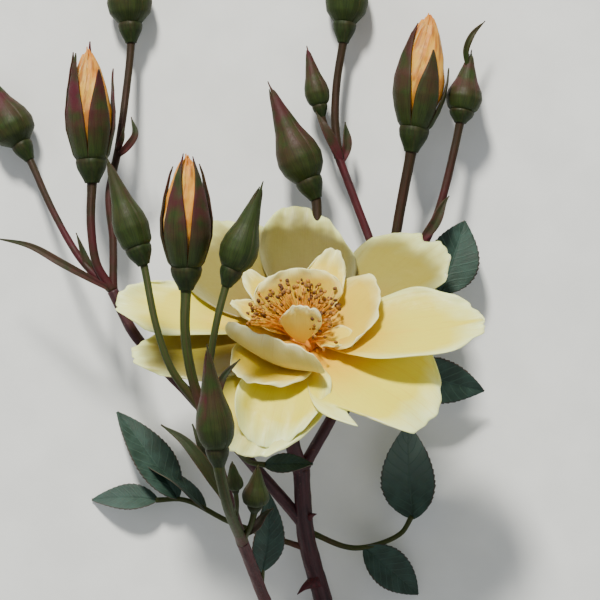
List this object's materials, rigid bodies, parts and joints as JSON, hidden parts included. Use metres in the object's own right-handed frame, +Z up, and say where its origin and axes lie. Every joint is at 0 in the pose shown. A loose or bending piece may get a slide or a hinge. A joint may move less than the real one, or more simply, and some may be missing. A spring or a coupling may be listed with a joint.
{
  "type": "cut rose branch",
  "caption": "Cut flowering rose branch lying on its back, with a large open semi-double bloom, closed and opening buds, toothed leaves and bracts.",
  "frame": {"origin": "middle of the bounding box on the floor that the branch lies on", "axes": "+Y from the cut end toward the topmost buds, +X to the right of the bloom as the branch is seen from above, +Z up from the floor"},
  "size_m": [0.1264, 0.2054, 0.0901],
  "materials": {
    "stem_bark": "dark purple-brown smooth young bark",
    "bud_green": "green hip and sepals flushed with dark red, on a red-green stalk",
    "bud_petal": "tightly rolled apricot petals, satin",
    "petal_outer": "pale butter yellow, soft satin",
    "petal_inner": "cream to golden yellow, soft satin",
    "stamen": "orange threads with brown heads, matte",
    "leaf": "dark blue-green, slightly glossy",
    "bract": "narrow green blade flushed with dark red"
  },
  "bodies": {
    "root": {"main_stem": "stem_bark", "bloom_stalk": "stem_bark", "right_stem": "stem_bark", "top_stem": "stem_bark", "left_stem": "stem_bark", "front_stem_lower": "stem_bark", "front_stem_upper": "stem_bark", "bloom_hip": "bud_green", "petal_lip": "petal_inner", "petal_centre": "petal_inner", "petal_inner_left_low": "petal_inner", "petal_inner_left": "petal_inner", "petal_inner_back": "petal_inner", "petal_inner_top": "petal_inner", "petal_inner_right": "petal_inner", "petal_inner_under": "petal_inner", "petal_inner_front": "petal_inner", "stamens": "stamen", "petal_right": "petal_outer", "petal_upper_right": "petal_outer", "petal_top": "petal_outer", "petal_upper_left": "petal_outer", "petal_left": "petal_outer", "petal_left_under": "petal_outer", "petal_bottom_under": "petal_outer", "petal_bottom": "petal_outer", "petal_lower_right": "petal_outer", "bud_left_opening_petals": "bud_petal", "bud_front_opening_petals": "bud_petal", "bud_right_opening_petals": "bud_petal", "bud_left_edge": "bud_green", "bud_left_opening": "bud_green", "bud_left_top": "bud_green", "bud_front_pointed": "bud_green", "bud_front_opening": "bud_green", "bud_front_dark": "bud_green", "bud_front_near": "bud_green", "bud_front_small": "bud_green", "bud_front_tiny": "bud_green", "bud_top": "bud_green", "bud_top_small": "bud_green", "bud_back_closed": "bud_green", "bud_right_opening": "bud_green", "bud_right_closed": "bud_green", "leaf_right_upper": "leaf", "leaf_right_lower": "leaf", "leaf_lower_right": "leaf", "leaf_lower_left": "leaf", "leaf_front": "leaf", "leaf_small": "leaf", "bracts_left": "bract", "bracts_front": "bract", "bract_front_tall": "bract", "bract_front_low": "bract", "bracts_top": "bract", "bract_right": "bract"}
  },
  "joints": []
}
